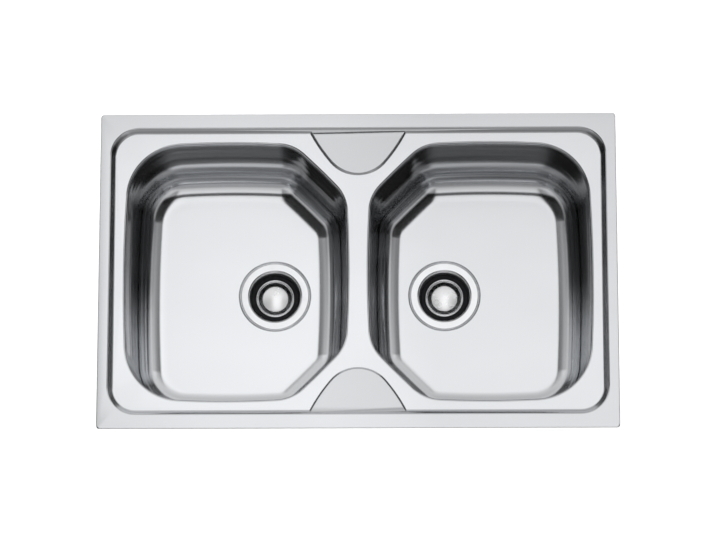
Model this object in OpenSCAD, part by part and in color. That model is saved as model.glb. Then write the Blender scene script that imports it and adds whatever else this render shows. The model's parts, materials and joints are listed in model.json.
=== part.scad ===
// Top-mount kitchen sink with two bowls, pressed from stainless sheet, with its basket
// strainer wastes and the clips that hold it down. Millimetres, +X to the right, +Y to
// the back, +Z up. The origin is the middle of the cut-out, on the worktop's top face.

/* [Sheet] */
// Thickness of the stainless sheet
sheet_t = 1; // [0.8:0.1:1.2]

/* [Rim] */
// Width of the sink, left to right
sink_w = 800; // [790:1:860]
// Depth of the sink, front to back
sink_d = 500; // [490:1:560]
// Height of the rim's top above the worktop
rim_h = 5; // [4:0.5:8]
// Radius of the rim's outer corners, seen from above
rim_corner_r = 6; // [5.5:0.5:12]
// Radius of the rim's rolled edge
rim_edge_r = 2; // [1.5:0.1:2.2]
// Gap left under the rolled edge
edge_gap = 0.3; // [0.2:0.1:1]

/* [Step] */
// From the sink's side edge to the middle of the step
step_in_side = 20; // [18:0.5:22]
// From the sink's front or back edge to the middle of the step
step_in_end = 26.5; // [25:0.5:29]
// Radius of the step's corners, seen from above
step_corner_r = 40; // [25:1:60]
// Drop from the rim to the recessed field
step_h = 8; // [7:0.5:9]
// Width of the sloping step
step_run = 10; // [9:0.5:11]
// Radius of the step's bends
step_bend_r = 3; // [2.5:0.1:3.4]

/* [Tap ledges] */
// Height of each tap ledge above the recessed field
ledge_h = 3; // [2.5:0.1:4]
// Width of the ledge's sloping edge
ledge_run = 4; // [3.5:0.1:5]
// Radius of the ledge edge's bends
ledge_bend_r = 1.3; // [1.2:0.05:1.5]
// From the middle of the sink to the ledge's rounded tip
ledge_tip_y = 154; // [150:1:160]
// Radius of the ledge's tip
ledge_tip_r = 54; // [45:1:60]
// Radius of the ledge's flanks
ledge_flank_r = 260; // [220:5:320]

/* [Bowls] */
// From the sink's side edge to a bowl's opening
bowl_in_side = 40.5; // [40.3:0.1:44]
// From the sink's front or back edge to a bowl's opening
bowl_in_end = 46; // [45:0.5:56]
// From the rim's top down to the bowl's floor
bowl_depth = 175; // [140:1:210]
// Width of the divider between the bowls
divider_w = 33; // [32:0.5:50]
// Radius of a bowl's outer corners
corner_r = 85; // [75:1:95]
// Radius that blends each cut corner into the sides
blend_r = 62; // [58:1:68]
// Length of the cut in each corner by the divider
cut_len = 70; // [55:1:80]
// Angle through which half of each cut bows outwards
cut_bow = 1.5; // [1:0.5:3]
// Angle through which half of each side bows outwards
bow = 3; // [2:0.5:4]
// Slope of the bowl's walls
draft = 5; // [3:0.5:6]
// Radius where a wall meets the floor
foot_r = 38; // [28:1:39]
// Radius of the lip around each opening
lip_r = 4; // [3:0.5:4]
// Length of the collar that the bowl is welded to
collar_len = 4; // [2:0.5:6]

/* [Strainer] */
// From the divider to the middle of each waste
waste_in = 117.5; // [117:0.5:130]
// Radius of the waste hole in the bowl's floor
waste_hole_r = 45; // [44:0.5:46]
// Radius of the strainer cup's flange
flange_r = 54; // [53:0.5:56]
// Depth of the pressed seat that the flange sits in
seat_drop = 2.5; // [2.4:0.1:3]
// Thickness of the gasket under the flange
flange_gasket_t = 1.2; // [1:0.1:1.3]
// Depth of the strainer cup below the bowl's floor
cup_depth = 48; // [44:1:56]
// Inner radius of the strainer cup's straight wall
cup_r = 31; // [29.5:0.1:32.5]
// Thickness of the gasket under the bowl's floor
under_gasket_t = 2.5; // [2:0.1:4]

/* [Basket] */
// From the bowl's floor down to the top of the basket's lip
basket_drop = 13; // [11:0.5:14]
// Radius of the basket's rolled lip
basket_lip_r = 30.5; // [28:0.5:31]
// Depth of the basket
basket_h = 27; // [24:1:28]
// Radius of the knob
knob_r = 20.5; // [16:0.5:21]
// Height of the knob's domed top
knob_h = 3; // [3:0.5:8]
// Radius of the stem
stem_r = 2.5; // [2:0.1:2.8]

/* [Waste body] */
// Radius over the outlet's thread, 1 1/2 inch pipe
outlet_r = 23.9; // [21:0.1:24]
// Inner radius of the outlet
outlet_bore_r = 20; // [17:0.1:20.5]
// Length of the outlet's thread
outlet_len = 20; // [14:1:30]
// Wall of the plastic waste body
body_t = 3; // [2.5:0.1:3.5]

/* [Clips] */
// From the sink's edge in to each clip's screw
clip_in = 28; // [27.5:0.1:28.4]
// Thickness of the worktop that the claws are set to
worktop_t = 38; // [30:1:42]
// Width of a clip
clip_w = 12; // [10:0.5:14]
// From the sink's side edge to the clips near the corners
clip_from_side = 160; // [120:5:200]
// Radius of the clip's screw
screw_r = 3; // [2.5:0.1:3]
// Running clearance around the screw
screw_gap = 0.06; // [0.02:0.01:0.1]
// From the sink's side edge to the end of a front or back rail
long_rail_in = 70; // [55:5:100]
// Length of the side rails
short_rail_len = 240; // [150:10:280]

/* [Pads and seal] */
// Width of the foam strip under the rim
seal_w = 7; // [6:0.5:8]
// Gap between the rolled edge and the foam strip
seal_in = 1; // [0.5:0.1:1.5]
// Bare floor left between each sound pad and the wall's bend
pad_in = 12; // [8:1:30]
// Length of each sound pad
pad_d = 220; // [120:5:240]
// Thickness of each sound pad
pad_t = 2.5; // [2:0.5:4]

/* [Hidden] */
$fn = 96;
big_fn = 256;
bowl_w = sink_w / 2 - divider_w / 2 - bowl_in_side;
bowl_d = sink_d - 2 * bowl_in_end;
clip_x = sink_w / 2 - clip_from_side;
waste_x = divider_w / 2 + waste_in;
field_z = rim_h - step_h;
floor_z = rim_h - bowl_depth;
ledge_z = field_z + ledge_h;
seat_z = -seat_drop;
band = 3;
floor_band = 6;
chord_rise = 0.8;
foot_steps = 5;
bend_steps = 3;
clip_places = [
    ["back_left", -clip_x, sink_d / 2 - clip_in, 90],
    ["back_middle", 0, sink_d / 2 - clip_in, 90],
    ["back_right", clip_x, sink_d / 2 - clip_in, 90],
    ["front_left", -clip_x, clip_in - sink_d / 2, 270],
    ["front_middle", 0, clip_in - sink_d / 2, 270],
    ["front_right", clip_x, clip_in - sink_d / 2, 270],
    ["left", clip_in - sink_w / 2, 0, 180],
    ["right", sink_w / 2 - clip_in, 0, 0]
];
waste_pieces = ["strainer_cup", "flange_gasket", "under_gasket", "waste_body", "screw_insert",
                "clamp_screw", "basket", "basket_seal", "knob", "stem", "detent_ring"];

// A path is a start [x, y, heading] and its turns, each [radius, angle] or [0, length].
// Heading 0 points to +Y and grows to the left, so the inside of a closed path is on its left.
function moved(p, turn) =
    turn[0] == 0
        ? [p[0] - turn[1] * sin(p[2]), p[1] + turn[1] * cos(p[2]), p[2]]
        : [p[0] + turn[0] * (cos(p[2] + turn[1]) - cos(p[2])),
           p[1] + turn[0] * (sin(p[2] + turn[1]) - sin(p[2])),
           p[2] + turn[1]];
function path(p, turns, i = 0) =
    i == len(turns) ? [] : concat([[p, turns[i]]], path(moved(p, turns[i]), turns, i + 1));

// Points along a path, each moved inwards, with chords short enough to stay in a flat band
function chords(turn) =
    turn[0] == 0 ? 1 : max(1, ceil(turn[1] / (2 * acos(1 - min(1, chord_rise / turn[0])))));
function points_along(route, inwards) = [
    for (s = route)
        let (p = s[0], turn = s[1], n = chords(turn))
            for (i = [0:n - 1])
                let (q = moved(p, [turn[0], turn[1] * i / n]))
                    [q[0] - inwards * cos(q[2]), q[1] - inwards * sin(q[2])]
];

function rounded_path(w, d, r) =
    path([w / 2, r - d / 2, 0],
         [[0, d - 2 * r], [r, 90], [0, w - 2 * r], [r, 90],
          [0, d - 2 * r], [r, 90], [0, w - 2 * r], [r, 90]]);

// A bent sheet's cross-section: its middle line starts at p [x, z], and each bend is
// [radius, angle] or [0, length], with an angle below zero to the right
function bent(p, heading, bends, i = 0) =
    i == len(bends)
        ? [[p[0], p[1], heading]]
        : let (b = bends[i],
               n = b[0] == 0 ? 1 : b[0] > 10 ? foot_steps : bend_steps,
               side = b[1] < 0 ? -1 : 1,
               end = b[0] == 0
                   ? [p[0] + b[1] * cos(heading), p[1] + b[1] * sin(heading)]
                   : [p[0] + side * b[0] * (sin(heading + b[1]) - sin(heading)),
                      p[1] - side * b[0] * (cos(heading + b[1]) - cos(heading))])
            concat(
                [for (j = [0:n - 1])
                    let (a = b[0] == 0 ? 0 : b[1] * j / n)
                        [p[0] + side * b[0] * (sin(heading + a) - sin(heading)),
                         p[1] - side * b[0] * (cos(heading + a) - cos(heading)),
                         heading + a]],
                bent(end, b[0] == 0 ? heading : heading + b[1], bends, i + 1));

function offset_points(line, side, t) =
    [for (q = line) [q[0] - side * t / 2 * sin(q[2]), q[1] + side * t / 2 * cos(q[2])]];
function reversed(list) = [for (i = [len(list) - 1:-1:0]) list[i]];

module bent_sheet(p, heading, bends, t = sheet_t) {
    line = bent(p, heading, bends);
    polygon(concat(offset_points(line, 1, t), reversed(offset_points(line, -1, t))));
}

// The slope and the flat length of a step of a given height and run between equal bends
function step_angle(h, run, r) = atan2(h - 2 * r, run) + asin(2 * r / norm([run, h - 2 * r]));
function step_flat(h, run, r) = sqrt(pow(norm([run, h - 2 * r]), 2) - 4 * r * r);

module step_section(from_z, h, run, r) {
    a = step_angle(h, run, r);
    bent_sheet([-run / 2 - band, from_z - sheet_t / 2], 0,
               [[0, band], [r, -a], [0, step_flat(h, run, r)], [r, a], [0, band]]);
}

// Whole millimetres, hundred-thousandths and the rest are moved apart, so that no digit
// of a place is lost where neighbouring pieces have to meet
module place(p) {
    whole = [for (v = p) round(v)];
    small = [for (i = [0:len(p) - 1]) round((p[i] - whole[i]) * 1e5) / 1e5];
    translate(whole) translate(small) translate(p - whole - small) children();
}

// Sweeps a cross-section along a path, with the section's +X pointing inwards
module swept(route) {
    for (s = route) {
        p = s[0];
        turn = s[1];
        if (turn[0] == 0)
            place([p[0], p[1], 0]) rotate([90, 0, p[2] + 180]) linear_extrude(turn[1]) children();
        else
            place([p[0] - turn[0] * cos(p[2]), p[1] - turn[0] * sin(p[2]), 0])
                rotate_extrude(start = p[2], angle = turn[1], $fn = turn[0] > 200 ? big_fn : $fn)
                    place([turn[0], 0]) mirror([1, 0]) children();
    }
}

// Deck
rim_path = rounded_path(sink_w, sink_d, rim_corner_r);
step_path = rounded_path(sink_w - 2 * step_in_side, sink_d - 2 * step_in_end, step_corner_r);

// The right bowl's opening: each side bows outwards, and the corners by the divider are cut
corner_reach = corner_r * (cos(bow) - sin(bow));
cut_near = cut_len / sqrt(2)
    + blend_r * (sin(45 - cut_bow) - sin(bow) + cos(bow) - cos(45 - cut_bow));
bow_share = tan(bow / 2);
end_half = (bowl_w - corner_reach - cut_near - bow_share * (bowl_d - corner_reach - cut_near))
    / (2 * (1 - bow_share * bow_share));
outer_half = bowl_d / 2 - corner_reach - bow_share * end_half;
inner_half = bowl_d / 2 - cut_near - bow_share * end_half;
end_r = end_half / sin(bow);
outer_r = outer_half / sin(bow);
inner_r = inner_half / sin(bow);
bowl_outer_x = divider_w / 2 + bowl_w;
cut_turns = [[blend_r, 45 - bow - cut_bow], [cut_len / 2 / sin(cut_bow), 2 * cut_bow],
             [blend_r, 45 - bow - cut_bow]];
bowl_path = path(
    [bowl_outer_x - outer_r * (1 - cos(bow)), -outer_half, -bow],
    concat([[outer_r, 2 * bow], [corner_r, 90 - 2 * bow], [end_r, 2 * bow]], cut_turns,
           [[inner_r, 2 * bow]], cut_turns, [[end_r, 2 * bow], [corner_r, 90 - 2 * bow]])
);

// The lip's section runs from the field over the bend and down the collar
lip_start = lip_r / tan(45 + draft / 2);
lip_mid_r = lip_r - sheet_t / 2;
collar_end = [lip_mid_r * cos(draft) - lip_start + collar_len * sin(draft),
              field_z - lip_r + lip_mid_r * sin(draft) - collar_len * cos(draft)];
foot_mid_r = foot_r + sheet_t / 2;
wall_len = (collar_end[1] - foot_mid_r * (1 - sin(draft)) - floor_z + sheet_t / 2) / cos(draft);
floor_in = collar_end[0] + wall_len * sin(draft) + foot_mid_r * cos(draft);

module lip_section() {
    bent_sheet([-lip_start - band, field_z - sheet_t / 2], 0,
               [[0, band], [lip_mid_r, draft - 90], [0, collar_len]]);
}

module wall_section() {
    bent_sheet(collar_end, draft - 90, [[0, wall_len], [foot_mid_r, 90 - draft], [0, floor_band]]);
}

module both_sides() {
    children();
    mirror([1, 0, 0]) children();
}

module front_and_back() {
    children();
    mirror([0, 1, 0]) children();
}

// The back tap ledge: an open tongue whose flanks run out past the step
ledge_tip_angle = 50;
ledge_flank_angle = 14;
flank_end = 90 - ledge_tip_angle - ledge_flank_angle;
ledge_start_x = ledge_tip_r * sin(ledge_tip_angle)
    + ledge_flank_r * (sin(ledge_tip_angle + ledge_flank_angle) - sin(ledge_tip_angle));
ledge_start_y = ledge_tip_y + ledge_tip_r * (1 - cos(ledge_tip_angle))
    + ledge_flank_r * (cos(ledge_tip_angle) - cos(ledge_tip_angle + ledge_flank_angle));
ledge_path = path(
    [-ledge_start_x, ledge_start_y, 180 + flank_end],
    [[ledge_flank_r, ledge_flank_angle], [ledge_tip_r, 2 * ledge_tip_angle],
     [ledge_flank_r, ledge_flank_angle]]
);

module ledge_section() {
    mirror([1, 0]) step_section(ledge_z, ledge_h, ledge_run, ledge_bend_r);
}

// Everything on the middle side of the back step's slope, so that a ledge ends in the slope
module inside_back_step() {
    y0 = sink_d / 2 - step_in_end;
    slope = tan(step_angle(step_h, step_run, step_bend_r));
    mid_z = rim_h - sheet_t / 2 - step_h / 2;
    low = mid_z - 10;
    high = mid_z + 10;
    rotate([90, 0, 90]) linear_extrude(sink_w, center = true)
        polygon([[0, low], [y0 + (low - mid_z) / slope, low], [y0 + (high - mid_z) / slope, high],
                 [0, high]]);
}

module ledge_outline(inwards) {
    polygon(concat(points_along(ledge_path, inwards),
                   [[ledge_start_x + 1, ledge_start_y + 1], [-ledge_start_x - 1, ledge_start_y + 1]]));
}

module ledge() {
    intersection() {
        union() {
            swept(ledge_path) ledge_section();
            translate([0, 0, ledge_z - sheet_t]) linear_extrude(sheet_t)
                ledge_outline(ledge_run / 2 + band / 2);
        }
        inside_back_step();
    }
}

module deck() {
    color("gainsboro") {
        difference() {
            union() {
                swept(rim_path)
                    bent_sheet([sheet_t / 2, edge_gap], 90,
                               [[0, rim_h - rim_edge_r - edge_gap],
                                [rim_edge_r - sheet_t / 2, -90], [0, band]]);
                translate([0, 0, rim_h - sheet_t]) linear_extrude(sheet_t) difference() {
                    polygon(points_along(rim_path, rim_edge_r + band / 2));
                    polygon(points_along(step_path, -step_run / 2 - band / 2));
                }
                swept(step_path) step_section(rim_h, step_h, step_run, step_bend_r);
                translate([0, 0, field_z - sheet_t]) linear_extrude(sheet_t) difference() {
                    polygon(points_along(step_path, step_run / 2 + band / 2));
                    both_sides() polygon(points_along(bowl_path, -lip_start - band / 2));
                }
                both_sides() swept(bowl_path) lip_section();
            }
            front_and_back() translate([0, 0, field_z - 2 * sheet_t])
                linear_extrude(ledge_h + 1.5 * sheet_t) ledge_outline(0);
        }
        front_and_back() ledge();
    }
}

// Bowls
seat_run = 3;
seat_bend_r = 0.9;
seat_r = flange_r + 0.5;

module seat_section() {
    a = step_angle(seat_drop, seat_run, seat_bend_r);
    mirror([1, 0]) bent_sheet([-seat_r - seat_run - band, -sheet_t / 2], 0,
        [[0, band], [seat_bend_r, -a], [0, step_flat(seat_drop, seat_run, seat_bend_r)],
         [seat_bend_r, a], [0, seat_r - waste_hole_r]]);
}

module right_bowl_shell() {
    color("gainsboro") {
        swept(bowl_path) wall_section();
        translate([0, 0, floor_z - sheet_t]) linear_extrude(sheet_t) difference() {
            polygon(points_along(bowl_path, floor_in + floor_band / 2));
            translate([waste_x, 0]) circle(r = seat_r + seat_run + band / 2);
        }
        translate([waste_x, 0, floor_z]) rotate_extrude() seat_section();
    }
}

// Foam strip
module rim_seal() {
    color("dimgray") linear_extrude(rim_h - sheet_t) difference() {
        square([sink_w - 2 * (sheet_t + seal_in), sink_d - 2 * (sheet_t + seal_in)], center = true);
        square([sink_w - 2 * (sheet_t + seal_in + seal_w), sink_d - 2 * (sheet_t + seal_in + seal_w)],
               center = true);
    }
}

// Clips. Each is drawn at the origin with its screw's axis on Z, and +X pointing outwards.
// The claws are folded in along the rails, as they are before the sink is fitted.
rail_t = 1.5;
rail_h = 15;
rail_flange = 6;
rail_back = 8.5;
rail_top = field_z - sheet_t;
slot_z = rail_top - 6;
slot_h = 2.6;
slot_w = clip_w - 1.4;
tab_t = 2;
tab_top = rail_top - 12;
hook_w = slot_w - 0.6;
hook_t = 2;
hook_down = 2;
stop_h = 2.2;
stop_r = 4.5;
thread_len = 42;
head_r = 5.5;
head_h = 3.5;
drive_w = 1.2;
drive_depth = 2;
claw_arm_t = 3;
claw_boss_h = 7;
claw_boss_r = 6;
claw_tip_t = 3;
claw_tip_h = 12;
claw_in = 0.5;
claw_reach = clip_in - claw_in;
claw_fold = -90;

module at_clip(c) {
    translate([c[1], c[2], 0]) rotate([0, 0, c[3]]) children();
}

module rail(length, places) {
    color("silver") difference() {
        union() {
            translate([-rail_back, -length / 2, rail_top - rail_h]) cube([rail_t, length, rail_h]);
            translate([-rail_back, -length / 2, rail_top - rail_t]) cube([rail_flange, length, rail_t]);
        }
        for (y = places) translate([-rail_back - 1, y - slot_w / 2, slot_z - slot_h / 2])
            cube([rail_t + 2, slot_w, slot_h]);
    }
}

module clip_bracket() {
    color("darkgray") difference() {
        union() {
            translate([rail_t - rail_back, -clip_w / 2, tab_top - tab_t])
                cube([tab_t, clip_w, slot_z + slot_h - tab_top + tab_t]);
            translate([rail_t - rail_back, -clip_w / 2, tab_top - tab_t])
                cube([rail_back - rail_t + claw_boss_r, clip_w, tab_t]);
            translate([-rail_back - hook_t, -hook_w / 2, slot_z - hook_t / 2])
                cube([rail_t + 2 * hook_t, hook_w, hook_t]);
            translate([-rail_back - hook_t, -hook_w / 2, slot_z - hook_t / 2 - hook_down])
                cube([hook_t, hook_w, hook_t + hook_down]);
        }
        translate([0, 0, tab_top - tab_t - 1]) cylinder(r = screw_r + screw_gap, h = tab_t + 2);
    }
}

module clip_screw() {
    bottom = tab_top - tab_t - thread_len;
    color("lightsteelblue") difference() {
        union() {
            translate([0, 0, tab_top + screw_gap]) cylinder(r = stop_r, h = stop_h);
            translate([0, 0, bottom]) cylinder(r = screw_r, h = tab_top + stop_h / 2 - bottom);
            translate([0, 0, bottom - head_h]) cylinder(r = head_r, h = head_h);
        }
        for (a = [0, 90]) rotate([0, 0, a])
            translate([-screw_r, -drive_w / 2, bottom - head_h - 1])
                cube([2 * screw_r, drive_w, drive_depth + 1]);
    }
}

module clip_claw() {
    low = -worktop_t - claw_tip_h;
    color("silver") rotate([0, 0, claw_fold]) difference() {
        union() {
            translate([0, 0, low]) cylinder(r = claw_boss_r, h = claw_boss_h);
            translate([0, -clip_w / 2, low]) cube([claw_reach, clip_w, claw_arm_t]);
            translate([claw_reach - claw_tip_t, -clip_w / 2, low]) cube([claw_tip_t, clip_w, claw_tip_h]);
        }
        translate([0, 0, low - 1]) cylinder(r = screw_r + screw_gap, h = claw_boss_h + 2);
        for (y = [-clip_w / 6, clip_w / 6]) translate([0, y, -worktop_t]) rotate([0, 90, 0])
            cylinder(r = clip_w / 10, h = claw_reach + 1, $fn = 4);
    }
}

// Earth tag, welded to the inner face of the back rail
tag_x = -clip_x / 2;
tag_w = 10;
tag_h = 24;
tag_t = 0.8;
tag_top = rail_top - 6;
tag_hole_r = 2.1;
tag_hole_up = 5;

module earth_tag() {
    tag_y = sink_d / 2 - clip_in - rail_back;
    color("silver") translate([tag_x, tag_y, tag_top - tag_h]) difference() {
        translate([-tag_w / 2, -tag_t, 0]) cube([tag_w, tag_t, tag_h]);
        translate([0, -tag_t - 1, tag_hole_up]) rotate([-90, 0, 0])
            cylinder(r = tag_hole_r, h = tag_t + 2);
    }
}

// Sound pad, glued under the bowl's floor between the waste and the outer wall
pad_corner_r = 10;
pad_from_seat = 5;

module sound_pad() {
    r = pad_corner_r;
    inner_x = waste_x + seat_r + seat_run + pad_from_seat;
    pad_w = bowl_outer_x - floor_in - pad_in - inner_x;
    color("#404040") translate([inner_x, -pad_d / 2, floor_z - sheet_t - pad_t])
        linear_extrude(pad_t) union() {
            translate([r, 0]) square([pad_w - 2 * r, pad_d]);
            translate([0, r]) square([pad_w, pad_d - 2 * r]);
            for (x = [r, pad_w - r], y = [r, pad_d - r]) translate([x, y]) circle(r = r);
        }
}

// Waste, drawn with the bowl's floor at zero and the waste's axis on Z
flange_top = seat_z + flange_gasket_t + sheet_t;
funnel_slope = 75;
funnel_bend_r = 2.5;
funnel_r = 43.2;
cup_mid_r = cup_r + sheet_t / 2;
cup_bend_r = 3;
cup_foot_r = 4;
funnel_top_r = funnel_r - funnel_bend_r * sin(funnel_slope);
funnel_top_z = flange_top - sheet_t / 2 - funnel_bend_r * (1 - cos(funnel_slope));
funnel_run = funnel_top_r - cup_mid_r - cup_bend_r * (1 - sin(funnel_slope));
funnel_low_z = funnel_top_z - funnel_run * tan(funnel_slope) - cup_bend_r * cos(funnel_slope);
cup_wall_len = funnel_low_z + cup_depth + sheet_t / 2 - cup_foot_r;
flange_lip_r = 1;
flange_lip_gap = 0.3;
cup_hole_r = 2.6;
screw_hole_r = 5.2;
clamp_r = screw_hole_r - 0.2;
clamp_head_r = 8;
clamp_head_h = 3;
socket_r = 3.3;
insert_r = clamp_r + 3;
boss_r = insert_r + body_t;
boss_gap = 2;
boss_top = -cup_depth - sheet_t - boss_gap;
gasket_in = 1;
body_top = seat_z - sheet_t - under_gasket_t;
body_r = waste_hole_r - 0.5;
body_flange_r = flange_r;
body_flange_t = 4;
cone_top = -cup_depth - 12;
cone_h = 14;
outlet_top = cone_top - cone_h;
boss_floor = outlet_top + body_t;
rib_from_top = 4;
rib_from_bottom = 1;
clamp_low = boss_floor + 2;
socket_depth = 18;

// The funnel's inner face: its radius at a height
function funnel_face(z) = funnel_top_r - (funnel_top_z - z) / tan(funnel_slope)
    - sheet_t / 2 / sin(funnel_slope);

// A ring of holes through a sheet of thickness t whose top is at z
module ring_of_holes(count, radius, hole_r, z, t) {
    for (i = [0:count - 1]) rotate([0, 0, (i + 0.5) * 360 / count])
        translate([radius, 0, z - t - 1]) cylinder(r = hole_r, h = t + 2, $fn = 24);
}

module strainer_cup() {
    color("whitesmoke") difference() {
        rotate_extrude() bent_sheet([flange_r - sheet_t / 2, seat_z + flange_lip_gap], 90,
            [[0, flange_top - sheet_t / 2 - flange_lip_r - seat_z - flange_lip_gap],
             [flange_lip_r, 90],
             [0, flange_r - sheet_t / 2 - flange_lip_r - funnel_r], [funnel_bend_r, funnel_slope],
             [0, funnel_run / cos(funnel_slope)], [cup_bend_r, 90 - funnel_slope],
             [0, cup_wall_len], [cup_foot_r, -90], [0, cup_mid_r - cup_foot_r - screw_hole_r]]);
        ring_of_holes(8, 13.5, cup_hole_r, -cup_depth, sheet_t);
        ring_of_holes(14, 21.5, cup_hole_r, -cup_depth, sheet_t);
    }
}

module flange_gasket() {
    color("#202020") translate([0, 0, seat_z]) difference() {
        cylinder(r = flange_r - sheet_t - gasket_in, h = flange_gasket_t);
        translate([0, 0, -1]) cylinder(r = waste_hole_r + gasket_in, h = flange_gasket_t + 2);
    }
}

module under_gasket() {
    color("#202020") translate([0, 0, body_top]) difference() {
        cylinder(r = body_flange_r - gasket_in, h = under_gasket_t);
        translate([0, 0, -1]) cylinder(r = waste_hole_r + gasket_in, h = under_gasket_t + 2);
    }
}

module waste_body() {
    inner_r = body_r - body_t;
    color("#e8e8e4") difference() {
        union() {
            rotate_extrude() polygon([
                [inner_r, body_top], [body_flange_r, body_top], [body_flange_r, body_top - body_flange_t],
                [body_r, body_top - body_flange_t], [body_r, cone_top], [outlet_r, outlet_top],
                [outlet_r, outlet_top - outlet_len], [outlet_bore_r, outlet_top - outlet_len],
                [outlet_bore_r, outlet_top], [inner_r, cone_top]]);
            translate([0, 0, outlet_top]) cylinder(r = boss_r, h = boss_top - outlet_top);
            for (a = [0, 120, 240]) rotate([0, 0, a]) intersection() {
                translate([boss_r - 1, -body_t / 2, outlet_top + rib_from_bottom])
                    cube([body_r, body_t, boss_top - rib_from_top - outlet_top - rib_from_bottom]);
                rotate_extrude() polygon([
                    [0, boss_top], [inner_r + 1, boss_top], [inner_r + 1, cone_top],
                    [outlet_bore_r + 1, outlet_top], [0, outlet_top]]);
            }
        }
        translate([0, 0, outlet_top - 1]) cylinder(r = clamp_r + 1, h = boss_top - outlet_top + 2);
        translate([0, 0, boss_floor]) cylinder(r = insert_r, h = boss_top - boss_floor + 1);
    }
}

module screw_insert() {
    color("goldenrod") difference() {
        translate([0, 0, boss_floor]) cylinder(r = insert_r, h = boss_top - boss_floor);
        translate([0, 0, boss_floor - 1]) cylinder(r = clamp_r, h = boss_top - boss_floor + 2);
    }
}

module clamp_screw() {
    color("lightgray") difference() {
        union() {
            translate([0, 0, -cup_depth]) cylinder(r = clamp_head_r, h = clamp_head_h);
            translate([0, 0, clamp_low]) cylinder(r = clamp_r, h = -cup_depth - clamp_low + 1);
        }
        translate([0, 0, -cup_depth - socket_depth])
            cylinder(r = socket_r, h = socket_depth + clamp_head_h + 1);
    }
}

// Basket, seated on its seal just clear of the funnel
basket_top = -basket_drop;
basket_floor = basket_top - basket_h;
basket_t = 0.8;
basket_roll_r = 1.6;
basket_wall_r = basket_lip_r - 2 * basket_roll_r - 1;
basket_taper = 4;
basket_hole_r = 1.8;
slot_from_floor = 4;
slot_from_top = 11;
seal_gap = 0.4;
seal_fit = 0.2;
seal_t = 4;
seal_top = basket_top - 1.2;

module basket() {
    lean = atan(basket_taper / basket_h);
    wall_slot_h = basket_h - slot_from_floor - slot_from_top;
    color("whitesmoke") difference() {
        rotate_extrude() union() {
            translate([basket_lip_r - basket_roll_r, basket_top - basket_roll_r]) circle(r = basket_roll_r);
            polygon([
                [basket_lip_r - basket_roll_r, basket_top], [basket_wall_r, basket_top - basket_roll_r],
                [basket_wall_r - basket_taper, basket_floor + basket_t], [stem_r, basket_floor + basket_t],
                [stem_r, basket_floor], [basket_wall_r - basket_taper + basket_t, basket_floor],
                [basket_wall_r + basket_t, basket_top - 2 * basket_roll_r],
                [basket_lip_r - basket_roll_r, basket_top - 2 * basket_roll_r]]);
        }
        ring_of_holes(8, 8.5, basket_hole_r, basket_floor + basket_t, basket_t);
        ring_of_holes(16, 15.5, basket_hole_r, basket_floor + basket_t, basket_t);
        for (i = [0:17]) rotate([0, 0, i * 20])
            translate([basket_wall_r - basket_taper / 2, 0,
                       basket_floor + slot_from_floor + wall_slot_h / 2])
                rotate([0, lean, 0]) cube([6, 2.2, wall_slot_h], center = true);
    }
}

module basket_seal() {
    low = seal_top - seal_t;
    neck_r = basket_wall_r + basket_t;
    under_lip = basket_top - 2 * basket_roll_r;
    color("#181818") rotate_extrude() polygon([
        [neck_r, under_lip], [basket_lip_r + seal_fit, under_lip],
        [basket_lip_r + seal_fit, seal_top], [funnel_face(seal_top) - seal_gap, seal_top],
        [funnel_face(low) - seal_gap, low], [neck_r + 2 * seal_fit, low]]);
}

// The stem's two collars hold the basket's floor, and the knob's neck stands on the upper one
collar_r = 4;
collar_t = 2;
knob_top = basket_top - 2;
knob_rim_h = 2;
knob_neck_r = 5;
knob_low = knob_top - knob_h - knob_rim_h;
neck_low = basket_floor + basket_t + collar_t;
stem_top = knob_low;
detent_r = socket_r - 0.3;
detent_t = 1.6;
detent_z = -cup_depth - 4;
detent_gap_w = 1;
groove_r = stem_r - 0.6;
stem_low = detent_z - 5;

module knob() {
    dome_r = (knob_r * knob_r + knob_h * knob_h) / (2 * knob_h);
    color("white") difference() {
        union() {
            intersection() {
                translate([0, 0, knob_top - dome_r]) sphere(r = dome_r);
                translate([0, 0, knob_low + knob_rim_h]) cylinder(r = knob_r, h = knob_h);
            }
            translate([0, 0, knob_low]) cylinder(r1 = knob_r - 4, r2 = knob_r, h = knob_rim_h);
            translate([0, 0, neck_low]) cylinder(r = knob_neck_r, h = knob_low - neck_low + 1);
        }
        translate([0, 0, neck_low - 1]) cylinder(r = stem_r, h = stem_top - neck_low + 1);
    }
}

module stem() {
    color("lightgray") difference() {
        union() {
            translate([0, 0, stem_low]) cylinder(r = stem_r, h = stem_top - stem_low);
            translate([0, 0, basket_floor + basket_t]) cylinder(r = collar_r, h = collar_t);
            translate([0, 0, basket_floor - collar_t]) cylinder(r = collar_r, h = collar_t);
        }
        translate([0, 0, detent_z]) difference() {
            cylinder(r = stem_r + 1, h = detent_t);
            translate([0, 0, -1]) cylinder(r = groove_r, h = detent_t + 2);
        }
    }
}

module detent_ring() {
    color("slategray") translate([0, 0, detent_z]) difference() {
        cylinder(r = detent_r, h = detent_t);
        translate([0, 0, -1]) cylinder(r = groove_r, h = detent_t + 2);
        translate([0, -detent_gap_w / 2, -1]) cube([detent_r + 1, detent_gap_w, detent_t + 2]);
    }
}

module waste_piece(piece) {
    if (piece == "strainer_cup") strainer_cup();
    if (piece == "flange_gasket") flange_gasket();
    if (piece == "under_gasket") under_gasket();
    if (piece == "waste_body") waste_body();
    if (piece == "screw_insert") screw_insert();
    if (piece == "clamp_screw") clamp_screw();
    if (piece == "basket") basket();
    if (piece == "basket_seal") basket_seal();
    if (piece == "knob") knob();
    if (piece == "stem") stem();
    if (piece == "detent_ring") detent_ring();
}

end_places = [for (c = clip_places) if (c[3] == 90) c[1]];
side_places = [for (c = clip_places) if (c[3] == 0) c[2]];

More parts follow.
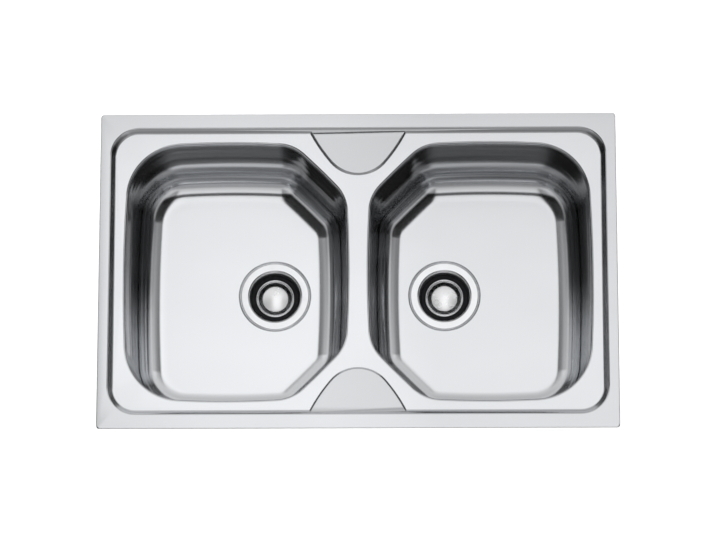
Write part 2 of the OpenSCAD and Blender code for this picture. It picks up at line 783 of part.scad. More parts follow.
deck();
mirror([1, 0, 0]) right_bowl_shell();  // left_bowl
right_bowl_shell();  // right_bowl
rim_seal();
at_clip(["", 0, sink_d / 2 - clip_in, 90]) rail(sink_w - 2 * long_rail_in, end_places);  // back_clip_rail
at_clip(["", 0, clip_in - sink_d / 2, 270]) rail(sink_w - 2 * long_rail_in, end_places);  // front_clip_rail
at_clip(["", clip_in - sink_w / 2, 0, 180]) rail(short_rail_len, side_places);  // left_clip_rail
at_clip(["", sink_w / 2 - clip_in, 0, 0]) rail(short_rail_len, side_places);  // right_clip_rail
for (c = clip_places) at_clip(c) clip_bracket();  // clip_brackets
mirror([1, 0, 0]) sound_pad();  // left_sound_pad
sound_pad();  // right_sound_pad
earth_tag();
for (c = clip_places) {
    at_clip(c) clip_screw();
    at_clip(c) clip_claw();
}
for (piece = waste_pieces) {
    translate([-waste_x, 0, floor_z]) waste_piece(piece);
    translate([waste_x, 0, floor_z]) waste_piece(piece);
}
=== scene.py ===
import json
import math

import bpy
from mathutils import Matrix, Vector


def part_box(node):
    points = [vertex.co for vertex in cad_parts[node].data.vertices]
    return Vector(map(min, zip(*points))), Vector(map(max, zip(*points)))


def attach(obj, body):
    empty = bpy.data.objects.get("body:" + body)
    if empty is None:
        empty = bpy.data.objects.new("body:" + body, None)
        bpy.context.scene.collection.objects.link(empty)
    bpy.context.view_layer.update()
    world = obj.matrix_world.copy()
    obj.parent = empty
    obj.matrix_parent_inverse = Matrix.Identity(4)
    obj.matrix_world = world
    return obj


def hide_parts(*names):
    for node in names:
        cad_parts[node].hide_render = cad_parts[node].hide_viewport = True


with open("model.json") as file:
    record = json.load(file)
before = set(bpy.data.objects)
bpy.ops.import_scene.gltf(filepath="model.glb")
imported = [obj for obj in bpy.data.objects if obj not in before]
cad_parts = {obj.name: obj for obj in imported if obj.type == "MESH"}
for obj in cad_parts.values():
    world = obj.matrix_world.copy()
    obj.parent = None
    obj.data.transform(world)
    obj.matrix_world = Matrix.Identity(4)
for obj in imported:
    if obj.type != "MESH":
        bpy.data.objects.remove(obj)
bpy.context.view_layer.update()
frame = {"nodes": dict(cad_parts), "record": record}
mm = 0.001
mergeDistance = 0.002 * mm
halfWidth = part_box("deck")[1].x
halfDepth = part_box("deck")[1].y
print("frame loaded")


# Materials

def addNode(tree, kind, **values):
    node = tree.nodes.new(kind)
    column, row = divmod(len(tree.nodes), 8)
    node.location = (240 * column - 2800, -240 * row)
    for name, value in values.items():
        setattr(node, name, value)
    return node


def feed(tree, socket, value):
    if isinstance(value, (int, float)):
        socket.default_value = value
    else:
        tree.links.new(value, socket)


def mathOf(tree, operation, *values):
    node = addNode(tree, "ShaderNodeMath", operation=operation)
    for socket, value in zip(node.inputs, values):
        feed(tree, socket, value)
    return node.outputs[0]


def multiplied(tree, product, *others):
    for other in others:
        product = mathOf(tree, "MULTIPLY", product, other)
    return product


def mixValues(tree, share, first, second):
    node = addNode(tree, "ShaderNodeMix")
    for socket, value in zip((node.inputs[0], node.inputs[2], node.inputs[3]), (share, first, second)):
        feed(tree, socket, value)
    return node.outputs[0]


def mixColours(tree, share, dark, light):
    mix = addNode(tree, "ShaderNodeMix", data_type="RGBA")
    tree.links.new(share, mix.inputs[0])
    mix.inputs[6].default_value = (*dark, 1)
    mix.inputs[7].default_value = (*light, 1)
    return mix.outputs[2]


def rangeOf(tree, value, fromLow, fromHigh, toLow, toHigh):
    node = addNode(tree, "ShaderNodeMapRange")
    for socket, number in zip(node.inputs[1:5], (fromLow, fromHigh, toLow, toHigh)):
        socket.default_value = number
    tree.links.new(value, node.inputs[0])
    return node.outputs[0]


def toneWhere(tree, mask, tone):
    # 1 outside the mask and the tone inside it
    return rangeOf(tree, mask, 0, 1, 1, tone)


def between(tree, value, low, high, blend):
    # 1 where the value lies from low to high, fading over the blend's width
    return multiplied(tree, rangeOf(tree, value, low - blend, low, 0, 1),
                      rangeOf(tree, value, high, high + blend, 1, 0))


def axesOf(tree, vector):
    axes = addNode(tree, "ShaderNodeSeparateXYZ")
    tree.links.new(vector, axes.inputs[0])
    return axes.outputs


def makeStretchedGrain():
    # fine lines drawn out along one direction, as a brush or a die leaves them
    tree = bpy.data.node_groups.new("stretchedGrain", "ShaderNodeTree")
    for label, kind in (("Position", "NodeSocketVector"), ("Stretch", "NodeSocketVector"),
                        ("Detail", "NodeSocketFloat")):
        tree.interface.new_socket(label, in_out="INPUT", socket_type=kind)
    tree.interface.new_socket("Lines", in_out="OUTPUT", socket_type="NodeSocketFloat")
    first = addNode(tree, "NodeGroupInput")
    scaled = addNode(tree, "ShaderNodeVectorMath", operation="MULTIPLY")
    noise = addNode(tree, "ShaderNodeTexNoise")
    last = addNode(tree, "NodeGroupOutput")
    noise.inputs["Scale"].default_value = 1
    tree.links.new(first.outputs["Position"], scaled.inputs[0])
    tree.links.new(first.outputs["Stretch"], scaled.inputs[1])
    tree.links.new(scaled.outputs[0], noise.inputs["Vector"])
    tree.links.new(first.outputs["Detail"], noise.inputs["Detail"])
    tree.links.new(noise.outputs["Fac"], last.inputs["Lines"])
    return tree


stretchedGrain = makeStretchedGrain()


def grainOf(tree, place, stretch, detail=4):
    grain = addNode(tree, "ShaderNodeGroup", node_tree=stretchedGrain)
    grain.inputs["Stretch"].default_value = stretch
    grain.inputs["Detail"].default_value = detail
    tree.links.new(place.outputs["Object"], grain.inputs["Position"])
    return grain.outputs[0]


def startMaterial(name, slotName, metallic, roughness):
    material = bpy.data.materials.new(name)
    material.use_nodes = True
    tree = material.node_tree
    shader = tree.nodes["Principled BSDF"]
    shader.inputs["Metallic"].default_value = metallic
    shader.inputs["Roughness"].default_value = roughness
    place = addNode(tree, "ShaderNodeTexCoord")
    material["slotName"] = slotName
    return material, tree, shader, place


deckFinishAndPaintedLight = {
    "dark": (0.83, 0.84, 0.855), "light": (0.88, 0.89, 0.905), "lineShare": 0.5,
    "grain": (14, 900, 900), "clouds": (5, 9, 5), "cloudRange": (0.3, 0.7),
    "flatRoughness": 0.16, "wallRoughness": 0.1, "lineHeight": 0.004 * mm,
    # heights of the drawn walls, the tap ledges and the rim
    "wallHeights": (-150 * mm, -14 * mm), "wallBlend": 9 * mm,
    "padHeights": (-0.6 * mm, 0.6 * mm), "padBlend": 0.8 * mm, "rimHeights": (3 * mm, 4.6 * mm),
    "padShade": 0.82, "rimShade": 0.92,
    # painted shade: darker towards the back and on the right
    "backStart": -0.1, "backPaintedShade": 0.9, "rightSpan": (-0.05, 0.12), "rightPaintedShade": 0.9,
    # the folded outer edge: painted light makes its colour paler, and it is rougher
    "edgeStart": 2.5 * mm, "edgeEnd": 1 * mm, "edgePaintedTone": 0.97, "edgeRoughness": 0.35,
}
wallWavesAndPaintedLight = {
    # the waves are relief, and their colour range paints reflection bands into the walls
    "waves": (2.5, 2.5, 42), "waveHeight": 0.45 * mm, "waveRange": (0.35, 0.65), "paintedStreaks": (0.5, 0.98),
    # painted shade: the walls darker towards the top
    "topHeights": (-120 * mm, -12 * mm), "topPaintedShade": 0.8,
    # walls that face sideways: painted shade darkens them from the bowl's middle backwards, and painted
    # light lifts them from the middle forwards
    "sideFacing": (0.3, 0.7), "outward": 0.3, "backSpan": (0.06, 0.12), "frontSpan": (0.06, 0.03),
    "sideHeights": (-165 * mm, -14 * mm), "sideBlend": 6 * mm,
    "innerToOuter": (100 * mm, 200 * mm), "innerPaintedShade": 0.26, "outerPaintedShade": 0.4, "frontPaintedLight": 0.7,
}
undersideFinish = {
    "tone": 0.62, "roughness": 0.42, "bowlMiddle": 190 * mm, "downFacing": (-0.7, -0.5),
    "awayFacing": (0.01, 0.02),
}


def undersideMask(tree, x, y, facing, onWall):
    # 1 on faces that look down, or away from a bowl's middle
    fromMiddle = mathOf(tree, "MULTIPLY_ADD", mathOf(tree, "SIGN", x),
                        -undersideFinish["bowlMiddle"], x)
    away = mathOf(tree, "ADD", multiplied(tree, facing["X"], fromMiddle),
                  multiplied(tree, facing["Y"], y))
    return mathOf(tree, "MAXIMUM", rangeOf(tree, facing["Z"], *undersideFinish["downFacing"], 1, 0),
                  multiplied(tree, onWall, rangeOf(tree, away, *undersideFinish["awayFacing"], 0, 1)))


def wallPaintedLightAndShade(tree, aside, y, height, facing, waves, onWall, inside):
    # painted reflection bands laid out by the waves, with painted shade darker towards the top; on the
    # walls that face sideways, painted light fades the bands in a bowl's front half
    sideways = rangeOf(tree, mathOf(tree, "ABSOLUTE", facing["X"]), *wallWavesAndPaintedLight["sideFacing"], 0, 1)
    back = mathOf(tree, "MULTIPLY_ADD", aside, wallWavesAndPaintedLight["outward"], y)
    plain = multiplied(tree, sideways, rangeOf(tree, back, *wallWavesAndPaintedLight["frontSpan"],
                                               0, wallWavesAndPaintedLight["frontPaintedLight"]))
    paintedStreaks = multiplied(tree, rangeOf(tree, waves, *wallWavesAndPaintedLight["waveRange"], *wallWavesAndPaintedLight["paintedStreaks"]),
                         rangeOf(tree, height, *wallWavesAndPaintedLight["topHeights"], 1, wallWavesAndPaintedLight["topPaintedShade"]))
    paintedStreaks = mixValues(tree, multiplied(tree, inside, onWall), 1, mixValues(tree, plain, paintedStreaks, 1))
    # painted shade: the same walls are dark in the back half, most of all by the divider
    dark = multiplied(tree, sideways, rangeOf(tree, back, *wallWavesAndPaintedLight["backSpan"], 0, 1), inside,
                      between(tree, height, *wallWavesAndPaintedLight["sideHeights"], wallWavesAndPaintedLight["sideBlend"]))
    darkPaintedTone = rangeOf(tree, aside, *wallWavesAndPaintedLight["innerToOuter"],
                       wallWavesAndPaintedLight["innerPaintedShade"], wallWavesAndPaintedLight["outerPaintedShade"])
    return multiplied(tree, paintedStreaks, mixValues(tree, dark, 1, darkPaintedTone))


def makeDeckSteel():
    material, tree, shader, place = startMaterial("deckSteel", "sink_steel", 1, 0.3)
    x, y, height = axesOf(tree, place.outputs["Object"])
    aside, along = mathOf(tree, "ABSOLUTE", x), mathOf(tree, "ABSOLUTE", y)
    facing = axesOf(tree, place.outputs["Normal"])
    lines = grainOf(tree, place, deckFinishAndPaintedLight["grain"])
    clouds = grainOf(tree, place, deckFinishAndPaintedLight["clouds"], 2)
    waves = grainOf(tree, place, wallWavesAndPaintedLight["waves"], 1)
    onWall = between(tree, height, *deckFinishAndPaintedLight["wallHeights"], deckFinishAndPaintedLight["wallBlend"])
    onPad = between(tree, height, *deckFinishAndPaintedLight["padHeights"], deckFinishAndPaintedLight["padBlend"])
    onRim = rangeOf(tree, height, *deckFinishAndPaintedLight["rimHeights"], 0, 1)
    underside = undersideMask(tree, x, y, facing, onWall)
    onEdge = mathOf(tree, "MAXIMUM", *[
        rangeOf(tree, distance, reach - deckFinishAndPaintedLight["edgeStart"], reach - deckFinishAndPaintedLight["edgeEnd"], 0, 1)
        for distance, reach in ((aside, halfWidth), (along, halfDepth))])
    # colour: a faint cloudiness with the brush's lines
    share = deckFinishAndPaintedLight["lineShare"]
    mottled = mathOf(tree, "MULTIPLY_ADD", mixValues(tree, onWall, lines, 0.5), share,
                     rangeOf(tree, clouds, *deckFinishAndPaintedLight["cloudRange"], 0, 1 - share))
    # shade: the ledges and rim a little darker, the underside darker, and painted shade towards the back,
    # on the right and on the walls, where painted light also lifts the sideways walls' front half
    shade = multiplied(
        tree, toneWhere(tree, onPad, deckFinishAndPaintedLight["padShade"]),
        toneWhere(tree, onRim, deckFinishAndPaintedLight["rimShade"]),
        rangeOf(tree, y, deckFinishAndPaintedLight["backStart"], halfDepth, 1, deckFinishAndPaintedLight["backPaintedShade"]),
        wallPaintedLightAndShade(tree, aside, y, height, facing, waves, onWall, toneWhere(tree, underside, 0)),
        toneWhere(tree, underside, undersideFinish["tone"]),
        rangeOf(tree, x, *deckFinishAndPaintedLight["rightSpan"], 1, deckFinishAndPaintedLight["rightPaintedShade"]))
    toned = addNode(tree, "ShaderNodeVectorMath", operation="SCALE")
    tree.links.new(mixColours(tree, mottled, deckFinishAndPaintedLight["dark"], deckFinishAndPaintedLight["light"]), toned.inputs[0])
    tree.links.new(shade, toned.inputs["Scale"])
    # painted light: the outer edge's colour lifted to a pale grey
    edged = addNode(tree, "ShaderNodeMix", data_type="RGBA")
    tree.links.new(onEdge, edged.inputs[0])
    tree.links.new(toned.outputs[0], edged.inputs[6])
    edged.inputs[7].default_value = (*[deckFinishAndPaintedLight["edgePaintedTone"]] * 3, 1)
    tree.links.new(edged.outputs[2], shader.inputs["Base Color"])
    roughness = rangeOf(tree, onWall, 0, 1, deckFinishAndPaintedLight["flatRoughness"], deckFinishAndPaintedLight["wallRoughness"])
    roughness = mixValues(tree, underside, roughness, undersideFinish["roughness"])
    tree.links.new(mixValues(tree, onEdge, roughness, deckFinishAndPaintedLight["edgeRoughness"]),
                   shader.inputs["Roughness"])
    # relief: the brush's lines on the flats, slight waves that the drawing leaves in the walls
    waveHeight = wallWavesAndPaintedLight["waveHeight"]
    bump = addNode(tree, "ShaderNodeBump")
    bump.inputs["Strength"].default_value = 1
    bump.inputs["Distance"].default_value = waveHeight
    tree.links.new(mixValues(tree, onWall, multiplied(tree, lines, deckFinishAndPaintedLight["lineHeight"] / waveHeight),
                             waves), bump.inputs["Height"])
    tree.links.new(bump.outputs[0], shader.inputs["Normal"])
    return material


speckleFinish = {"noiseRange": (0.3, 0.7), "glossChange": 0.15}


def makePlain(name, slotName, colour, metallic, roughness, speckle, size):
    # one colour with a speckle that also varies the gloss
    material, tree, shader, place = startMaterial(name, slotName, metallic, roughness)
    noise = grainOf(tree, place, (size, size, size))
    light = tuple(min(1, c * (1 + speckle)) for c in colour)
    dark = tuple(c * (1 - speckle) for c in colour)
    tree.links.new(mixColours(tree, noise, dark, light), shader.inputs["Base Color"])
    change = speckleFinish["glossChange"]
    tree.links.new(rangeOf(tree, noise, *speckleFinish["noiseRange"],
                           roughness * (1 - change), roughness * (1 + change)),
                   shader.inputs["Roughness"])
    return material


finishes = {
    "deckSteel": makeDeckSteel(),
    "strainerSteel": makePlain("strainerSteel", "strainer_steel", (0.87, 0.875, 0.885), 1, 0.18, 0.01, 60),
    # the knob: half matte and near white, a painted brightness standing for the bright reflection on its
    # dome
    "knobSteel": makePlain("knobSteel", "knob_steel", (0.98, 0.98, 0.985), 0.5, 0.26, 0.01, 40),
    "zincSteel": makePlain("zincSteel", "zinc_steel", (0.66, 0.68, 0.70), 1, 0.35, 0.12, 400),
    "foamStrip": makePlain("foamStrip", "foam", (0.05, 0.05, 0.055), 0, 0.9, 0.3, 1500),
    "blackRubber": makePlain("blackRubber", "gasket_rubber", (0.006, 0.006, 0.007), 0, 0.75, 0.15, 120),
    "bitumenPad": makePlain("bitumenPad", "bitumen", (0.03, 0.03, 0.033), 0, 0.85, 0.3, 600),
    "whitePlastic": makePlain("whitePlastic", "white_plastic", (0.80, 0.80, 0.77), 0, 0.5, 0.02, 300),
    "turnedBrass": makePlain("turnedBrass", "brass", (0.72, 0.52, 0.22), 1, 0.3, 0.08, 300),
    "greyPlastic": makePlain("greyPlastic", "grey_plastic", (0.12, 0.13, 0.15), 0, 0.5, 0.05, 300),
}
slotFinish = {material["slotName"]: material for material in finishes.values()}
print("finishes made:", len(finishes))


# Routes and cross-sections, as the sink's own press tools follow them

def moved(place, turn):
    x, y, heading = place
    radius, amount = turn
    h = math.radians(heading)
    if radius == 0:
        return (x - amount * math.sin(h), y + amount * math.cos(h), heading)
    end = math.radians(heading + amount)
    return (x + radius * (math.cos(end) - math.cos(h)), y + radius * (math.sin(end) - math.sin(h)),
            heading + amount)


def routeOf(place, turns):
    route = []
    for turn in turns:
        route.append((place, turn))
        place = moved(place, turn)
    return route


def bent(point, heading, bends, arcStep=9):
    # middle line of a bent sheet: each bend is (radius, angle) or (0, length)
    x, z = point
    points = [(x, z)]
    h = math.radians(heading)
    for radius, amount in bends:
        if radius == 0:
            x, z = x + amount * math.cos(h), z + amount * math.sin(h)
            points.append((x, z))
            continue
        side = -1 if amount < 0 else 1
        steps = max(2, math.ceil(abs(amount) / arcStep))
        for i in range(1, steps + 1):
            a = h + math.radians(amount) * i / steps
            points.append((x + side * radius * (math.sin(a) - math.sin(h)),
                           z - side * radius * (math.cos(a) - math.cos(h))))
        x, z = points[-1]
        h += math.radians(amount)
    return points


def startLine(name, place, section):
    # a line of vertices across the start of a route, with the section's +X pointing inwards
    bpy.ops.object.select_all(action="DESELECT")
    bpy.ops.mesh.primitive_plane_add(size=0.01, enter_editmode=True)
    bpy.context.object.name = name
    bpy.ops.mesh.merge(type="CENTER")
    x, y, heading = place
    inwards = Vector((-math.cos(math.radians(heading)), -math.sin(math.radians(heading)), 0))
    points = [Vector((x, y, z)) + inwards * s for s, z in section]
    bpy.ops.transform.translate(value=points[0])
    for before, after in zip(points, points[1:]):
        bpy.ops.mesh.extrude_region_move(TRANSFORM_OT_translate={"value": after - before})
    bpy.ops.mesh.select_all(action="SELECT")
    return bpy.context.object


def sweepLine(route, chordRise=0.02 * mm):
    for (x, y, heading), (radius, amount) in route:
        h = math.radians(heading)
        if radius == 0:
            bpy.ops.mesh.extrude_region_move(TRANSFORM_OT_translate={
                "value": (-amount * math.sin(h), amount * math.cos(h), 0)})
            continue
        chord = 2 * math.degrees(math.acos(1 - chordRise / radius))
        # spin turns the other way round than the heading does
        bpy.ops.mesh.spin(steps=max(2, math.ceil(amount / chord)), angle=-math.radians(amount),
                          center=(x - radius * math.cos(h), y - radius * math.sin(h), 0),
                          axis=(0, 0, 1))


def selectOpenEdges(obj, chosen):
    bpy.ops.object.mode_set(mode="OBJECT")
    mesh = obj.data
    for part in (mesh.vertices, mesh.edges, mesh.polygons):
        part.foreach_set("select", [False] * len(part))
    used = {}
    for polygon in mesh.polygons:
        for key in polygon.edge_keys:
            used[key] = used.get(key, 0) + 1
    for edge in mesh.edges:
        isOpen = used.get(tuple(sorted(edge.vertices)), 0) < 2
        middle = (mesh.vertices[edge.vertices[0]].co + mesh.vertices[edge.vertices[1]].co) / 2
        edge.select = isOpen and chosen(middle)
    bpy.ops.object.mode_set(mode="EDIT")
    bpy.ops.mesh.select_mode(type="EDGE")


def closeSeams():
    bpy.ops.mesh.select_all(action="SELECT")
    bpy.ops.mesh.remove_doubles(threshold=mergeDistance)
    bpy.ops.mesh.normals_make_consistent(inside=False)


def addThickness(obj, thickness, offset):
    modifier = obj.modifiers.new("thickness", "SOLIDIFY")
    modifier.thickness = thickness
    modifier.offset = offset
    modifier.use_even_offset = True
    bpy.ops.object.modifier_apply(modifier=modifier.name)


def shadeSmooth(obj, angle=40):
    bpy.ops.object.select_all(action="DESELECT")
    obj.select_set(True)
    bpy.context.view_layer.objects.active = obj
    bpy.ops.object.shade_smooth_by_angle(angle=math.radians(angle))
    weights = obj.modifiers.new("flats", "WEIGHTED_NORMAL")
    weights.keep_sharp = True
    bpy.ops.object.modifier_apply(modifier=weights.name)


sink = {
    "sheet": 1 * mm, "rimTop": 5 * mm, "stepDrop": 8 * mm,
    "bowlInSide": 40.5 * mm, "bowlInEnd": 46 * mm, "dividerWidth": 33 * mm,
    "cornerRadius": 85 * mm, "blendRadius": 62 * mm, "cutLength": 70 * mm, "cutBow": 1.5, "bow": 3,
    "draft": 5, "footRadius": 38 * mm, "lipRadius": 4 * mm, "collar": 4 * mm, "floorBand": 6 * mm,
    "wasteIn": 117.5 * mm, "wasteHole": 45 * mm, "seatRadius": 54.5 * mm, "seatRun": 3 * mm,
    "seatDrop": 2.5 * mm, "seatBend": 0.9 * mm, "seatBand": 3 * mm, "seatSteps": 96,
    "footArcStep": 5, "levelSlack": 0.01 * mm,
}
fieldZ = sink["rimTop"] - sink["stepDrop"]
bowlWidth = halfWidth - sink["dividerWidth"] / 2 - sink["bowlInSide"]
bowlDepth = 2 * (halfDepth - sink["bowlInEnd"])
wasteX = sink["dividerWidth"] / 2 + sink["wasteIn"]


def bowlRoute():
    bow, cutBow = math.radians(sink["bow"]), math.radians(sink["cutBow"])
    corner, blend = sink["cornerRadius"], sink["blendRadius"]
    slant = math.radians(45) - cutBow
    cornerReach = corner * (math.cos(bow) - math.sin(bow))
    cutNear = sink["cutLength"] / math.sqrt(2) + blend * (
        math.sin(slant) - math.sin(bow) + math.cos(bow) - math.cos(slant))
    share = math.tan(bow / 2)
    endHalf = (bowlWidth - cornerReach - cutNear - share * (bowlDepth - cornerReach - cutNear)) \
        / (2 * (1 - share * share))
    outerHalf = bowlDepth / 2 - cornerReach - share * endHalf
    innerHalf = bowlDepth / 2 - cutNear - share * endHalf
    endRadius, outerRadius, innerRadius = (half / math.sin(bow)
                                           for half in (endHalf, outerHalf, innerHalf))
    blendTurn = (blend, 45 - sink["bow"] - sink["cutBow"])
    cut = [blendTurn, (sink["cutLength"] / 2 / math.sin(cutBow), 2 * sink["cutBow"]), blendTurn]
    side, cornerTurn = 2 * sink["bow"], (corner, 90 - 2 * sink["bow"])
    outerX = sink["dividerWidth"] / 2 + bowlWidth - outerRadius * (1 - math.cos(bow))
    return routeOf((outerX, -outerHalf, -sink["bow"]),
                   [(outerRadius, side), cornerTurn, (endRadius, side), *cut, (innerRadius, side),
                    *cut, (endRadius, side), cornerTurn])


def stepSlope(height, run, radius):
    return math.degrees(math.atan2(height - 2 * radius, run)
                        + math.asin(2 * radius / math.hypot(run, height - 2 * radius)))


def stepFlat(height, run, radius):
    return math.sqrt(run ** 2 + (height - 2 * radius) ** 2 - 4 * radius ** 2)


def modelBowl():
    sheet, draft = sink["sheet"], math.radians(sink["draft"])
    lipStart = sink["lipRadius"] / math.tan(math.radians(45 + sink["draft"] / 2))
    lipMiddle = sink["lipRadius"] - sheet / 2
    collarEnd = (lipMiddle * math.cos(draft) - lipStart + sink["collar"] * math.sin(draft),
                 fieldZ - sink["lipRadius"] + lipMiddle * math.sin(draft)
                 - sink["collar"] * math.cos(draft))
    footMiddle = sink["footRadius"] + sheet / 2
    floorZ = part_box("right_bowl")[0].z + sink["seatDrop"] + sheet
    wall = (collarEnd[1] - footMiddle * (1 - math.sin(draft)) - floorZ + sheet / 2) / math.cos(draft)
    section = bent(collarEnd, sink["draft"] - 90,
                   [(0, wall), (footMiddle, 90 - sink["draft"]), (0, sink["floorBand"])],
                   sink["footArcStep"])
    route = bowlRoute()
    bowl = startLine("rightBowlShell", route[0][0], section)
    sweepLine(route)
    closeSeams()
    # the waste's pressed seat, spun round its own axis
    level = floorZ - sheet / 2
    slope = stepSlope(sink["seatDrop"], sink["seatRun"], sink["seatBend"])
    seat = bent((sink["seatRadius"] + sink["seatRun"] + sink["seatBand"], level), 180,
                [(0, sink["seatBand"]), (sink["seatBend"], slope),
                 (0, stepFlat(sink["seatDrop"], sink["seatRun"], sink["seatBend"])),
                 (sink["seatBend"], -slope), (0, sink["seatRadius"] - sink["wasteHole"])])
    bpy.ops.object.mode_set(mode="OBJECT")
    seatPiece = startLine("wasteSeat", (wasteX, 0, 180), seat)
    bpy.ops.mesh.spin(steps=sink["seatSteps"], angle=2 * math.pi, center=(wasteX, 0, 0), axis=(0, 0, 1))
    closeSeams()
    bpy.ops.object.mode_set(mode="OBJECT")
    bowl.select_set(True)
    seatPiece.select_set(True)
    bpy.context.view_layer.objects.active = bowl
    bpy.ops.object.join()
    selectOpenEdges(bowl, lambda p: abs(p.z - level) < sink["levelSlack"])
    bpy.ops.mesh.fill(use_beauty=True)
    closeSeams()
    bpy.ops.object.mode_set(mode="OBJECT")
    addThickness(bowl, sheet, 0)
    return bowl


def mirrored(obj, name):
    bpy.ops.object.select_all(action="DESELECT")
    obj.select_set(True)
    bpy.context.view_layer.objects.active = obj
    bpy.ops.object.duplicate()
    copy = bpy.context.object
    copy.name = name
    bpy.ops.object.mode_set(mode="EDIT")
    bpy.ops.mesh.select_all(action="SELECT")
    bpy.ops.transform.mirror(constraint_axis=(True, False, False), center_override=(0, 0, 0))
    bpy.ops.mesh.flip_normals()
    bpy.ops.object.mode_set(mode="OBJECT")
    return copy


rightBowl = modelBowl()
leftBowl = mirrored(rightBowl, "leftBowlShell")
for bowl, node in ((rightBowl, "right_bowl"), (leftBowl, "left_bowl")):
    shadeSmooth(bowl)
    bowl.data.materials.clear()
    bowl.data.materials.append(finishes["deckSteel"])
    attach(bowl, "sink")
    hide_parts(node)
print("bowls modelled:", len(rightBowl.data.polygons), "faces each")


# Smooth copies of the remaining pieces, on their own bodies

def smoothCopy(node):
    source = frame["nodes"][node]
    bpy.ops.object.select_all(action="DESELECT")
    copy = source.copy()
    copy.data = source.data.copy()
    copy.name = node + "Smooth"
    copy.parent = None
    for key in list(copy.keys()):
        del copy[key]
    bpy.context.scene.collection.objects.link(copy)
    copy.select_set(True)
    bpy.context.view_layer.objects.active = copy
    bpy.ops.object.mode_set(mode="EDIT")
    bpy.ops.mesh.select_all(action="SELECT")
    bpy.ops.mesh.remove_doubles(threshold=mergeDistance)
    bpy.ops.object.mode_set(mode="OBJECT")
    shadeSmooth(copy)
    return copy


bodyOf = {node: body for body, nodes in frame["record"]["behaviour"]["bodies"].items() for node in nodes}
slotOf = {part["node"]: part["material_slot"] for part in frame["record"]["subparts"]}
for node in frame["nodes"]:
    frame["nodes"][node].data.materials.clear()
    frame["nodes"][node].data.materials.append(slotFinish[slotOf[node]])
smoothNodes = ["deck"]
for side in ("left", "right"):
    smoothNodes += [side + "_" + piece for piece in (
        "strainer_cup", "flange_gasket", "basket", "basket_seal", "knob", "stem", "waste_body",
        "under_gasket", "screw_insert", "clamp_screw")]
for node in smoothNodes:
    copy = smoothCopy(node)
    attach(copy, bodyOf[node])
    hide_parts(node)
print("smooth copies made:", len(smoothNodes))


# Studio: white floor, a lamp, and a dome that only the metal mirrors

studio = {
    "floorZ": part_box("left_waste_body")[0].z - 2 * mm, "floorSize": 40,
    "floorTone": 0.9, "floorGlow": 0.85, "worldLevels": (0.7, 1),
    "cameraDistance": 6, "tilt": 14.1, "sideways": 0.09, "lens": 196, "sensor": 36,
    "lampHeight": 2.4, "lampBack": 0.3, "lampSize": 2.2, "lampPower": 60,
}


def whiteRays(tree):
    # 1 on the rays that see the white background: camera, glossy and transmitted ones
    path = addNode(tree, "ShaderNodeLightPath").outputs
    return mathOf(tree, "MAXIMUM", path["Is Transmission Ray"],
                  mathOf(tree, "MAXIMUM", path["Is Camera Ray"], path["Is Glossy Ray"]))


def makeFloor():
    bpy.ops.object.select_all(action="DESELECT")
    bpy.ops.mesh.primitive_plane_add(size=studio["floorSize"], location=(0, 0, studio["floorZ"]))
    floor = bpy.context.object
    floor.name = "studioFloor"
    material = bpy.data.materials.new("floorWhite")
    material.use_nodes = True
    tree = material.node_tree
    shader = tree.nodes["Principled BSDF"]
    shader.inputs["Base Color"].default_value = (*[studio["floorTone"]] * 3, 1)
    shader.inputs["Roughness"].default_value = 1
    shader.inputs["Emission Color"].default_value = (1, 1, 1, 1)
    tree.links.new(rangeOf(tree, whiteRays(tree), 0, 1, 0, studio["floorGlow"]),
                   shader.inputs["Emission Strength"])
    floor.data.materials.append(material)


# brightness of the surroundings by direction: X to the right, Y to the back, Z up
dome = {
    "radius": 12, "strength": 1.07, "colour": (0.985, 0.99, 1), "middleX": 0.03,
    "frontToBack": [(-1, 0.3), (-0.8, 0.6), (-0.56, 0.9), (-0.5, 0.12), (-0.32, 0.06), (-0.27, 0.85),
                    (-0.1, 1), (0.28, 1), (0.38, 0.85), (0.5, 0.68), (0.7, 0.55), (1, 0.5)],
    "middleToSide": [(0, 1), (0.18, 1), (0.2, 0.75), (0.23, 0.35), (0.26, 0.3), (0.32, 0.45),
                     (0.45, 0.52), (0.62, 0.85), (1, 0.85)],
    "sidesEnd": (0.35, 0.55), "cornerSide": (0.16, 0.22), "cornerBack": (0.27, 0.22),
    "cornerFront": (-0.6, -0.48), "cornerDepth": 0.95,
    "low": [(-1, 0.5), (0, 0.5), (0.3, 0.6), (0.6, 0.66), (1, 0.66)], "lowEnds": (0.5, 0.62),
    "sideGap": (0.88, 0.92), "sideGapBack": (-0.1, 0.5), "sideGapBlend": 0.15, "sideGapDepth": 0.97,
    "frontDim": (-0.8, -0.9), "frontTone": 0.5,
    "horizonSide": (0.4, 0.52), "horizonTop": (0.3, 0.18), "horizonDepth": 0.96,
}


def levelAlong(tree, value, stops):
    # level between the stops (value, level), which end at 1
    lowest = stops[0][0]
    ramp = addNode(tree, "ShaderNodeValToRGB")
    tree.links.new(rangeOf(tree, value, lowest, 1, 0, 1), ramp.inputs[0])
    elements = ramp.color_ramp.elements
    elements.remove(elements[1])
    elements[0].position = 0
    for place, level in stops[1:]:
        elements.new((place - lowest) / (1 - lowest))
    for stop, (place, level) in zip(elements, stops):
        stop.color = (level, level, level, 1)
    return ramp.outputs[0]


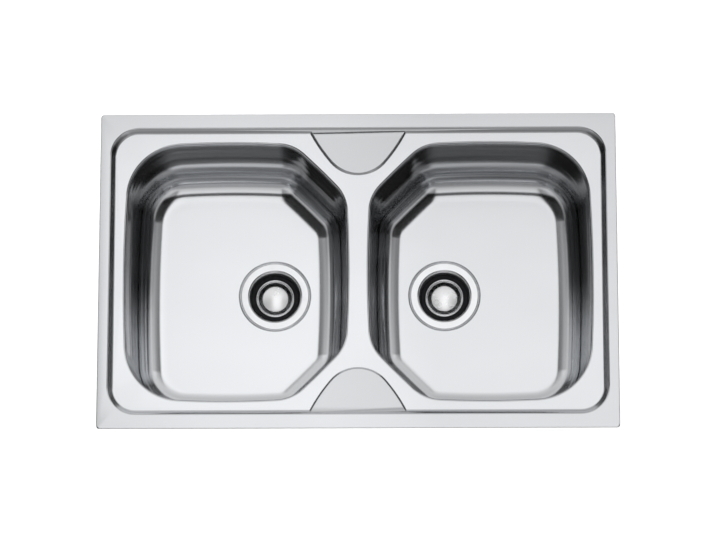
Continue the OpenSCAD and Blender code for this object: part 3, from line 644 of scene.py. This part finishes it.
def domeLevel(tree, x, back, up):
    aside = mathOf(tree, "ABSOLUTE", mathOf(tree, "SUBTRACT", x, dome["middleX"]))
    # overhead: a bright lane from front to back, dark quarters beside its front half
    sides = mixValues(tree, rangeOf(tree, back, *dome["sidesEnd"], 0, 1),
                      levelAlong(tree, aside, dome["middleToSide"]), 1)
    corner = multiplied(tree, rangeOf(tree, aside, *dome["cornerSide"], 0, 1),
                        rangeOf(tree, back, *dome["cornerBack"], 0, dome["cornerDepth"]),
                        rangeOf(tree, back, *dome["cornerFront"], 0, 1))
    overhead = multiplied(tree, sides, levelAlong(tree, back, dome["frontToBack"]),
                          toneWhere(tree, corner, 0))
    # lower down: an even room with a dimmer front, a dark gap at either side and a dark side horizon
    gap = multiplied(tree, rangeOf(tree, aside, *dome["sideGap"], 0, dome["sideGapDepth"]),
                     between(tree, back, *dome["sideGapBack"], dome["sideGapBlend"]))
    horizon = multiplied(tree, rangeOf(tree, aside, *dome["horizonSide"], 0, dome["horizonDepth"]),
                         rangeOf(tree, up, *dome["horizonTop"], 0, 1))
    low = multiplied(tree, levelAlong(tree, up, dome["low"]),
                     rangeOf(tree, back, *dome["frontDim"], 1, dome["frontTone"]),
                     toneWhere(tree, gap, 0), toneWhere(tree, horizon, 0))
    return mixValues(tree, rangeOf(tree, up, *dome["lowEnds"], 0, 1), low, overhead)


def makeDome():
    bpy.ops.object.select_all(action="DESELECT")
    bpy.ops.mesh.primitive_uv_sphere_add(segments=64, ring_count=32, radius=dome["radius"])
    shell = bpy.context.object
    shell.name = "studioDome"
    material = bpy.data.materials.new("domeLight")
    material.use_nodes = True
    tree = material.node_tree
    tree.nodes.clear()
    place = addNode(tree, "ShaderNodeTexCoord")
    unit = addNode(tree, "ShaderNodeVectorMath", operation="NORMALIZE")
    tree.links.new(place.outputs["Object"], unit.inputs[0])
    glow = addNode(tree, "ShaderNodeEmission")
    glow.inputs[0].default_value = (*dome["colour"], 1)
    tree.links.new(multiplied(tree, domeLevel(tree, *axesOf(tree, unit.outputs[0])), dome["strength"]),
                   glow.inputs[1])
    tree.links.new(glow.outputs[0], addNode(tree, "ShaderNodeOutputMaterial").inputs[0])
    shell.data.materials.append(material)
    for ray in ("camera", "diffuse", "transmission", "volume_scatter", "shadow"):
        setattr(shell, "visible_" + ray, False)


def makeLamp():
    light = bpy.data.lights.new("overheadLamp", "AREA")
    light.size = studio["lampSize"]
    light.energy = studio["lampPower"]
    lamp = bpy.data.objects.new("overheadLamp", light)
    lamp.location = (0, studio["lampBack"], studio["lampHeight"])
    lamp.visible_glossy = False
    bpy.context.scene.collection.objects.link(lamp)


def makeWorld():
    world = bpy.data.worlds.new("studioWorld")
    world.use_nodes = True
    tree = world.node_tree
    tree.links.new(rangeOf(tree, whiteRays(tree), 0, 1, *studio["worldLevels"]),
                   tree.nodes["Background"].inputs[1])
    bpy.context.scene.world = world


def makeCamera():
    camera = bpy.data.cameras.new("photoCamera")
    camera.lens = studio["lens"]
    camera.sensor_width = studio["sensor"]
    obj = bpy.data.objects.new("photoCamera", camera)
    tilt = math.radians(studio["tilt"])
    height = studio["cameraDistance"] * math.cos(tilt)
    obj.location = (studio["sideways"], -studio["cameraDistance"] * math.sin(tilt), height)
    obj.rotation_euler = (tilt, math.asin(studio["sideways"] / height), 0)
    bpy.context.scene.collection.objects.link(obj)
    bpy.context.scene.camera = obj


makeFloor()
makeDome()
makeLamp()
makeWorld()
makeCamera()
bpy.context.scene.view_settings.view_transform = "Standard"
print("studio set")
